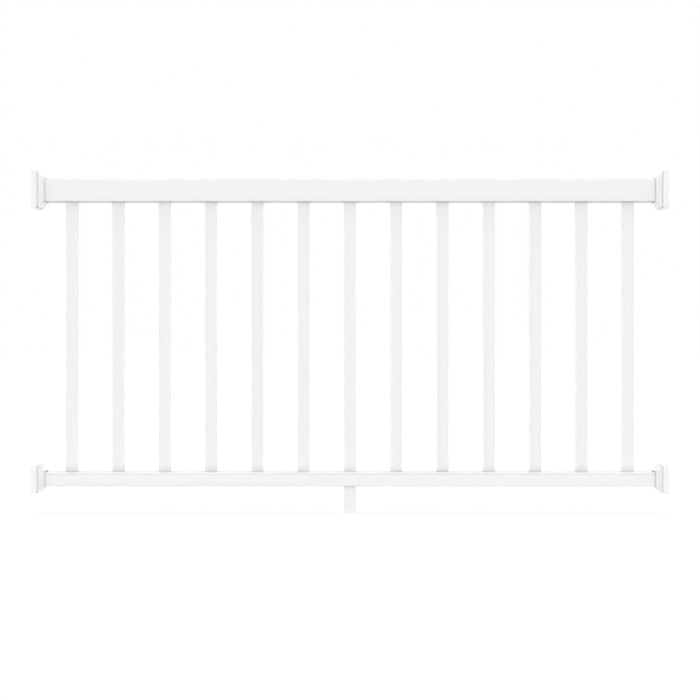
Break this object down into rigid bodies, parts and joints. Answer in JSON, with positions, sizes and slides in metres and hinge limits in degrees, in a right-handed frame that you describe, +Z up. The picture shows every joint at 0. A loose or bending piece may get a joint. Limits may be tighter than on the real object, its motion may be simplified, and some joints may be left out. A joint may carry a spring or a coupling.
{
  "type": "deck railing section",
  "caption": "White vinyl deck railing section: a crowned top rail and a bottom rail joined by square balusters, with flared post brackets at the rail ends and a support leg below.",
  "frame": {"origin": "on the left post face, at the middle of the bottom left base plate's back", "axes": "+X along the rails from the left post to the right post, +Y towards the back, +Z up"},
  "size_m": [1.736, 0.127, 0.9365],
  "materials": {
    "rail_vinyl": "extruded white vinyl, satin",
    "baluster_vinyl": "extruded white vinyl, satin",
    "bracket_vinyl": "moulded white vinyl, fine satin texture"
  },
  "bodies": {
    "root": {"top_rail": "rail_vinyl", "bottom_rail": "rail_vinyl", "support_leg": "baluster_vinyl", "baluster_01": "baluster_vinyl", "baluster_02": "baluster_vinyl", "baluster_03": "baluster_vinyl", "baluster_04": "baluster_vinyl", "baluster_05": "baluster_vinyl", "baluster_06": "baluster_vinyl", "baluster_07": "baluster_vinyl", "baluster_08": "baluster_vinyl", "baluster_09": "baluster_vinyl", "baluster_10": "baluster_vinyl", "baluster_11": "baluster_vinyl", "baluster_12": "baluster_vinyl", "baluster_13": "baluster_vinyl", "support_leg_plug": "bracket_vinyl", "top_left_base_plate": "bracket_vinyl", "top_left_collar": "bracket_vinyl", "bottom_left_base_plate": "bracket_vinyl", "bottom_left_collar": "bracket_vinyl", "top_right_base_plate": "bracket_vinyl", "top_right_collar": "bracket_vinyl", "bottom_right_base_plate": "bracket_vinyl", "bottom_right_collar": "bracket_vinyl"}
  },
  "joints": []
}
